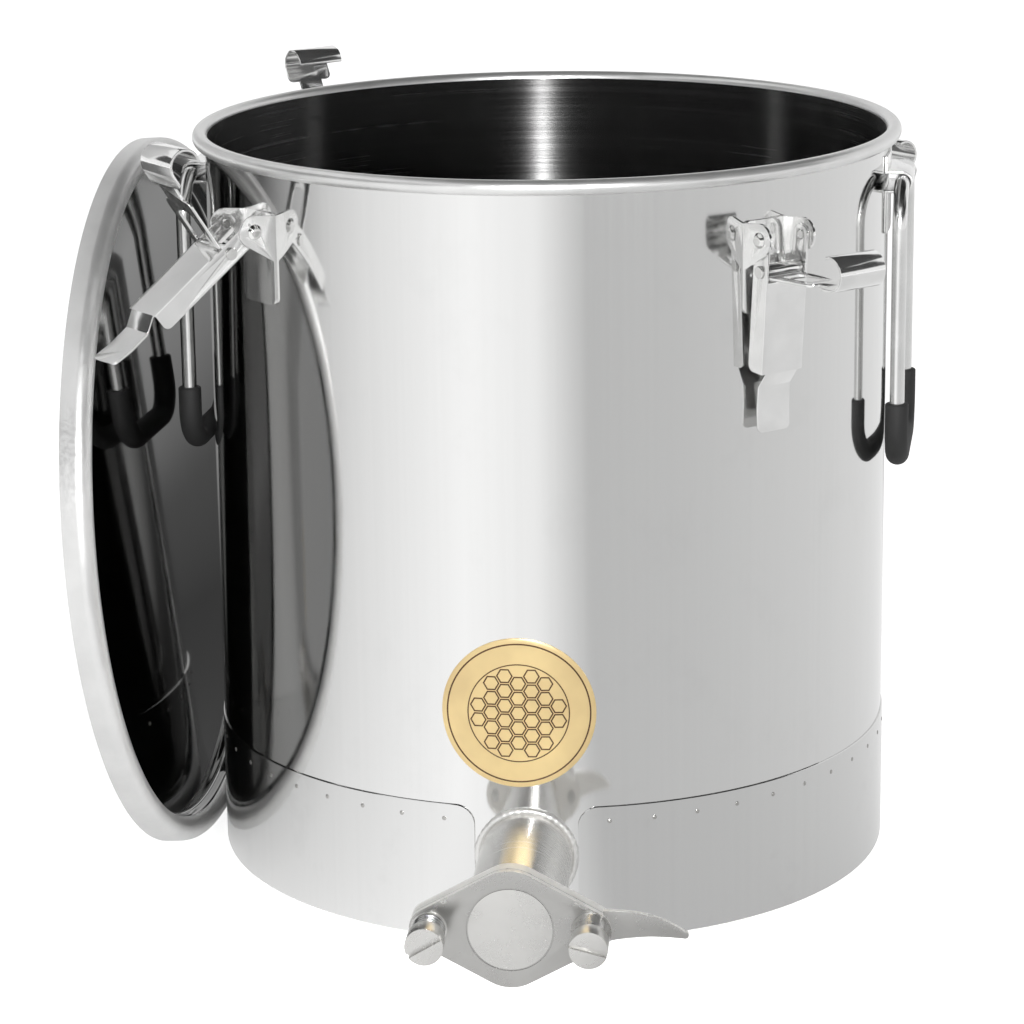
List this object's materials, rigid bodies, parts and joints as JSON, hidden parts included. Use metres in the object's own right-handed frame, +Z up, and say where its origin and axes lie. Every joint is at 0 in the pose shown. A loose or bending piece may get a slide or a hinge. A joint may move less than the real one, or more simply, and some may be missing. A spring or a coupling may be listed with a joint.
{
  "type": "honey settling tank",
  "caption": "Open stainless settling tank for honey, with a gate valve, drop handles and toggle latches round the rim, and its lid stood beside it.",
  "frame": {"origin": "on the tank's vertical axis at ground level", "axes": "+Z up, the outlet valve points to -Y, +X to the right seen from the valve"},
  "size_m": [0.4394, 0.5311, 0.4177],
  "materials": {
    "tank_steel": "bright satin sheet",
    "fitting_steel": "satin",
    "grip_rubber": "matte",
    "seal_rubber": "matte",
    "badge_plate": "satin"
  },
  "bodies": {
    "tank": {"tank_wall": "tank_steel", "rim_wire": "fitting_steel", "tank_bottom": "tank_steel", "base_skirt": "tank_steel", "skirt_spot_welds": "fitting_steel", "outlet_pipe": "fitting_steel", "outlet_weld": "fitting_steel", "valve_flange": "fitting_steel", "gate_seal": "seal_rubber", "pivot_screw": "fitting_steel", "pivot_washer": "fitting_steel", "pivot_spring": "fitting_steel", "clamp_screw": "fitting_steel", "clamp_cone": "fitting_steel", "badge": "badge_plate", "handle_bracket_right": "fitting_steel", "handle_bracket_left": "fitting_steel", "latch_base_front_left": "fitting_steel", "latch_base_front_right": "fitting_steel", "latch_base_back_right": "fitting_steel", "latch_base_back_left": "fitting_steel", "latch_rivets_front_left": "fitting_steel", "latch_rivets_front_right": "fitting_steel", "latch_rivets_back_right": "fitting_steel", "latch_rivets_back_left": "fitting_steel"},
    "gate": {"gate_plate": "fitting_steel"},
    "handle_left": {"handle_bail_left": "fitting_steel", "handle_grip_left": "grip_rubber"},
    "handle_right": {"handle_bail_right": "fitting_steel", "handle_grip_right": "grip_rubber"},
    "lever_front_left": {"latch_lever_front_left": "fitting_steel", "latch_hook_pin_front_left": "fitting_steel"},
    "hook_front_left": {"latch_hook_front_left": "fitting_steel"},
    "lever_front_right": {"latch_lever_front_right": "fitting_steel", "latch_hook_pin_front_right": "fitting_steel"},
    "hook_front_right": {"latch_hook_front_right": "fitting_steel"},
    "lever_back_right": {"latch_lever_back_right": "fitting_steel", "latch_hook_pin_back_right": "fitting_steel"},
    "hook_back_right": {"latch_hook_back_right": "fitting_steel"},
    "lever_back_left": {"latch_lever_back_left": "fitting_steel", "latch_hook_pin_back_left": "fitting_steel"},
    "hook_back_left": {"latch_hook_back_left": "fitting_steel"},
    "lid": {"lid_shell": "tank_steel", "lid_gasket": "seal_rubber"}
  },
  "joints": [
    {"name": "gate_swing", "type": "hinge", "parent": "tank", "child": "gate", "pos_m": [-0.04, -0.283, 0.047], "axis": [0, -1, 0], "range_deg": [0, 105]},
    {"name": "handle_left_swing", "type": "hinge", "parent": "tank", "child": "handle_left", "pos_m": [-0.19303, 0.0135, 0.374], "axis": [0.0698, 0.9976, 0], "range_deg": [0, 120]},
    {"name": "handle_right_swing", "type": "hinge", "parent": "tank", "child": "handle_right", "pos_m": [0.19303, -0.0135, 0.374], "axis": [-0.0698, -0.9976, 0], "range_deg": [0, 120]},
    {"name": "latch_lever_front_left_swing", "type": "hinge", "parent": "tank", "child": "lever_front_left", "pos_m": [-0.14868, -0.12924, 0.3665], "axis": [-0.6561, 0.7547, 0], "range_deg": [-58, 56]},
    {"name": "latch_lever_front_right_swing", "type": "hinge", "parent": "tank", "child": "lever_front_right", "pos_m": [0.12924, -0.14868, 0.3665], "axis": [-0.7547, -0.6561, 0], "range_deg": [0, 114]},
    {"name": "latch_lever_back_right_swing", "type": "hinge", "parent": "tank", "child": "lever_back_right", "pos_m": [0.14868, 0.12924, 0.3665], "axis": [0.6561, -0.7547, 0], "range_deg": [0, 109]},
    {"name": "latch_lever_back_left_swing", "type": "hinge", "parent": "tank", "child": "lever_back_left", "pos_m": [-0.12924, 0.14868, 0.3665], "axis": [0.7547, 0.6561, 0], "range_deg": [-64, 45]},
    {"name": "latch_hook_front_left_swing", "type": "hinge", "parent": "lever_front_left", "child": "hook_front_left", "pos_m": [-0.15875, -0.138, 0.3568], "axis": [0.6561, -0.7547, 0], "range_deg": [-54, 0]},
    {"name": "latch_hook_front_right_swing", "type": "hinge", "parent": "lever_front_right", "child": "hook_front_right", "pos_m": [0.12849, -0.14781, 0.35004], "axis": [0.7547, 0.6561, 0], "range_deg": [-76, 0]},
    {"name": "latch_hook_back_right_swing", "type": "hinge", "parent": "lever_back_right", "child": "hook_back_right", "pos_m": [0.14781, 0.12849, 0.35004], "axis": [-0.6561, 0.7547, 0], "range_deg": [-76, 0]},
    {"name": "latch_hook_back_left_swing", "type": "hinge", "parent": "lever_back_left", "child": "hook_back_left", "pos_m": [-0.13862, 0.15946, 0.35825], "axis": [-0.7547, -0.6561, 0], "range_deg": [-45, 0]},
    {"name": "lid_slide", "type": "slide", "parent": "tank", "child": "lid", "axis": [-0.9968, 0.0802, 0], "range_m": [0, 0.32]}
  ],
  "couplings": [
    {"joint": "lid_slide", "follows": "handle_left_swing", "m_per_rad": 0.15}
  ]
}
